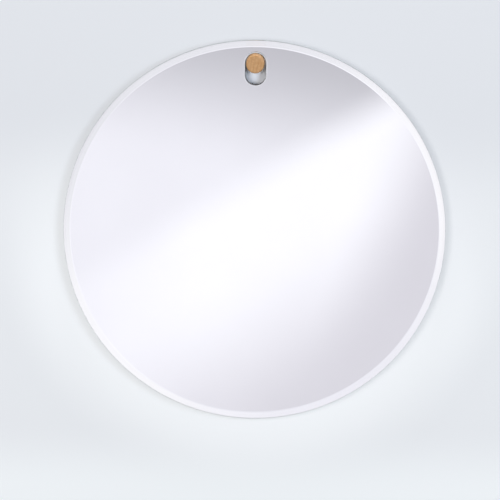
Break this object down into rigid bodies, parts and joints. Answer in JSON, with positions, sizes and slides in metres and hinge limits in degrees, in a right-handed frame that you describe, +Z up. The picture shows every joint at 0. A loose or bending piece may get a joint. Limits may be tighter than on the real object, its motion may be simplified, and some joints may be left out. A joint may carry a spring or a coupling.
{
  "type": "round wall mirror",
  "caption": "Round frameless mirror with a polished bevel and a backing board, hung by an oblong slot near its rim on a round wooden wall peg.",
  "frame": {"origin": "where the peg's axis meets the wall, at the mouth of the drilled hole", "axes": "+Z up, +Y into the wall along the peg, so the mirror faces -Y; +X to the viewer's right"},
  "size_m": [0.3999, 0.0776, 0.4],
  "materials": {
    "glass": "clear float glass with a polished bevel and seamed edges",
    "silvering": "silver under a grey lacquer",
    "film": "grey woven-backed safety film",
    "foam_tape": "white closed-cell foam tape",
    "board": "fibreboard dyed grey through its thickness",
    "bumper": "clear grey silicone",
    "oak": "turned oak, oiled, end grain to the front",
    "insert_brass": "turned brass",
    "bolt_steel": "zinc-plated steel",
    "plug_nylon": "moulded grey nylon"
  },
  "bodies": {
    "wall_fixing": {"wall_plug": "plug_nylon", "hanger_bolt": "bolt_steel"},
    "peg": {"hanging_peg": "oak", "peg_insert": "insert_brass"},
    "mirror": {"mirror_glass": "glass", "silver_layer": "silvering", "safety_film": "film", "bonding_tape": "foam_tape", "backing_board": "board", "wall_bumpers": "bumper"}
  },
  "joints": [
    {"name": "mirror_swing", "type": "hinge", "parent": "wall_fixing", "child": "peg", "pos_m": [0, 0, 0], "axis": [0, -1, 0], "continuous": true},
    {"name": "mirror_lift", "type": "slide", "parent": "peg", "child": "mirror", "axis": [0, 0, 1], "range_m": [0, 0.014]}
  ]
}
